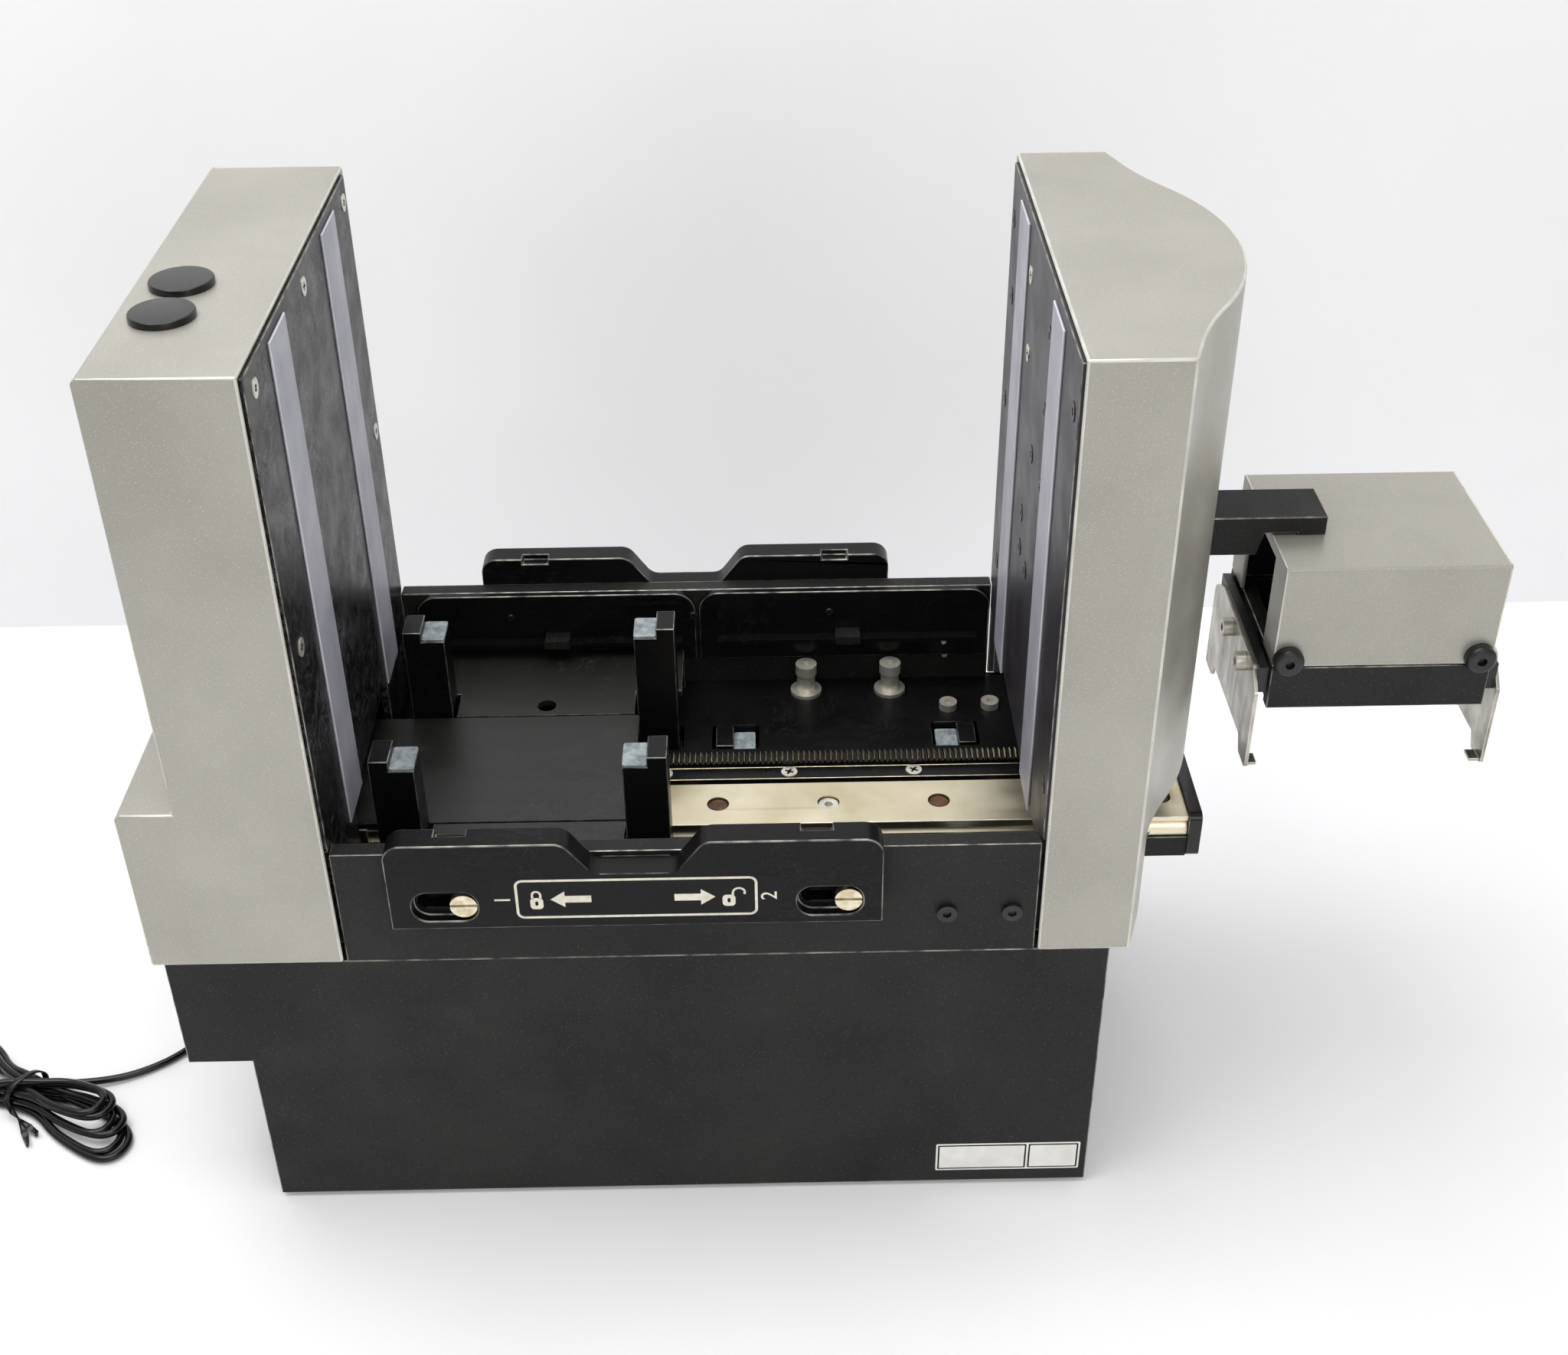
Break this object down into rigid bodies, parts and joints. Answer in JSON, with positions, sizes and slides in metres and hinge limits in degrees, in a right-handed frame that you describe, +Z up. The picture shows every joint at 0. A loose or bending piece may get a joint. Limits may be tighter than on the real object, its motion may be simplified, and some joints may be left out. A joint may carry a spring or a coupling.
{
  "type": "microplate stacker",
  "caption": "Bench microplate stacker: black base with two plate bays between silver towers, lifters, a rail carrier, lock plates and a side gripper.",
  "frame": {"origin": "middle of the footprint of the instrument without its lead, on the bench", "axes": "X to the right towards the gripper, Y to the back, Z up"},
  "size_m": [0.634, 0.2398, 0.3357],
  "materials": {
    "silver_paint": "fine satin paint over folded sheet",
    "black_powder": "fine textured powder coat",
    "black_anodised": "black anodised plate, lightly scratched",
    "grey_anodised": "dull grey anodised plate",
    "rail_steel": "ground bearing steel",
    "stainless": "bright stainless sheet and screws",
    "black_screw": "black oxide",
    "black_plastic": "moulded black plastic",
    "strip_plastic": "pale low-friction strip",
    "lift_pad": "pale translucent silicone",
    "rubber": "black rubber",
    "board": "glass fibre board",
    "motor": "black motor case",
    "nut_brass": "turned bronze",
    "cord_vinyl": "glossy black vinyl",
    "inner_steel": "zinc plated sheet"
  },
  "bodies": {
    "root": {"base_enclosure": "black_powder", "base_plate": "inner_steel", "rubber_feet": "rubber", "deck_plate": "black_powder", "front_wall": "black_powder", "back_wall": "black_powder", "back_liners": "black_anodised", "bay_floor_plates": "grey_anodised", "body_screws": "stainless", "rear_panel": "black_powder", "rear_sockets": "black_plastic", "cord_gland": "black_plastic", "left_tower_cover": "silver_paint", "left_tower_panel": "black_anodised", "left_tower_frame": "inner_steel", "top_hole_plugs": "black_plastic", "right_tower_cover": "silver_paint", "right_tower_panel": "black_anodised", "right_tower_frame": "inner_steel", "guide_strips": "strip_plastic", "panel_screws": "stainless", "linear_rail": "rail_steel", "rail_and_rack_screws": "stainless", "rail_support": "black_powder", "rail_end_cap": "black_plastic", "gear_rack": "black_anodised", "lift_motors": "motor", "guide_shafts": "rail_steel", "control_board": "board", "lock_screws": "stainless", "gripper_motor": "motor", "power_cord": "cord_vinyl", "cord_hank": "cord_vinyl", "cord_tie": "cord_vinyl", "cord_plug": "black_plastic"},
    "front_lock": {"front_lock_plate": "black_anodised"},
    "back_lock": {"back_lock_plate": "black_anodised"},
    "input_lift": {"input_lift_frame": "black_anodised", "input_lift_pads": "lift_pad", "input_lift_nut": "nut_brass"},
    "input_screw": {"input_lead_screw": "stainless"},
    "output_lift": {"output_lift_frame": "black_anodised", "output_lift_pads": "lift_pad", "output_lift_nut": "nut_brass"},
    "output_screw": {"output_lead_screw": "stainless"},
    "carrier": {"carrier_plate": "grey_anodised", "carriage_block": "rail_steel", "carrier_motor": "motor"},
    "pinion": {"drive_pinion": "nut_brass"},
    "gripper": {"gripper_carriage": "inner_steel", "gripper_arm": "black_powder", "gripper_frame": "black_powder", "gripper_cover": "silver_paint", "cover_knobs": "black_screw"},
    "gripper_screw": {"gripper_lead_screw": "stainless"},
    "left_claw": {"left_claw": "stainless", "left_claw_mount": "black_screw"},
    "right_claw": {"right_claw": "stainless", "right_claw_mount": "black_screw"},
    "grip_pinion": {"grip_pinion": "nut_brass"}
  },
  "joints": [
    {"name": "front_lock_slide", "type": "slide", "parent": "root", "child": "front_lock", "axis": [1, 0, 0], "range_m": [0, 0.012]},
    {"name": "back_lock_slide", "type": "slide", "parent": "root", "child": "back_lock", "axis": [1, 0, 0], "range_m": [-0.012, 0]},
    {"name": "input_lift_slide", "type": "slide", "parent": "root", "child": "input_lift", "axis": [0, 0, 1], "range_m": [-0.054, 0]},
    {"name": "input_screw_turn", "type": "hinge", "parent": "root", "child": "input_screw", "pos_m": [-0.1067, -0.00235, 0.042], "axis": [0, 0, 1], "range_deg": [0, 2431]},
    {"name": "output_lift_slide", "type": "slide", "parent": "root", "child": "output_lift", "axis": [0, 0, 1], "range_m": [0, 0.054]},
    {"name": "output_screw_turn", "type": "hinge", "parent": "root", "child": "output_screw", "pos_m": [0.0083, -0.00235, 0.042], "axis": [0, 0, 1], "range_deg": [-2431, 0]},
    {"name": "carrier_slide", "type": "slide", "parent": "root", "child": "carrier", "axis": [1, 0, 0], "range_m": [0, 0.2928]},
    {"name": "pinion_turn", "type": "hinge", "parent": "carrier", "child": "pinion", "pos_m": [-0.2017, 0.00915, 0.13704], "axis": [0, 1, 0], "range_deg": [0, 2595]},
    {"name": "gripper_lift", "type": "slide", "parent": "root", "child": "gripper", "axis": [0, 0, 1], "range_m": [-0.06, 0.045]},
    {"name": "gripper_screw_turn", "type": "hinge", "parent": "root", "child": "gripper_screw", "pos_m": [0.0953, -0.00085, 0.202], "axis": [0, 0, 1], "range_deg": [-2026, 2701]},
    {"name": "left_claw_slide", "type": "slide", "parent": "gripper", "child": "left_claw", "axis": [1, 0, 0], "range_m": [-0.005, 0]},
    {"name": "right_claw_slide", "type": "slide", "parent": "gripper", "child": "right_claw", "axis": [1, 0, 0], "range_m": [0, 0.005]},
    {"name": "grip_pinion_turn", "type": "hinge", "parent": "gripper", "child": "grip_pinion", "pos_m": [0.1861, -0.00085, 0.1875], "axis": [0, 0, 1], "range_deg": [-75, 0]}
  ],
  "couplings": [
    {"joint": "input_screw_turn", "follows": "input_lift_slide", "rad_per_m": -785.4},
    {"joint": "output_screw_turn", "follows": "output_lift_slide", "rad_per_m": -785.4},
    {"joint": "pinion_turn", "follows": "carrier_slide", "rad_per_m": 154.61},
    {"joint": "gripper_screw_turn", "follows": "gripper_lift", "rad_per_m": -785.4},
    {"joint": "right_claw_slide", "follows": "left_claw_slide", "ratio": -1},
    {"joint": "grip_pinion_turn", "follows": "left_claw_slide", "rad_per_m": 257.68}
  ]
}
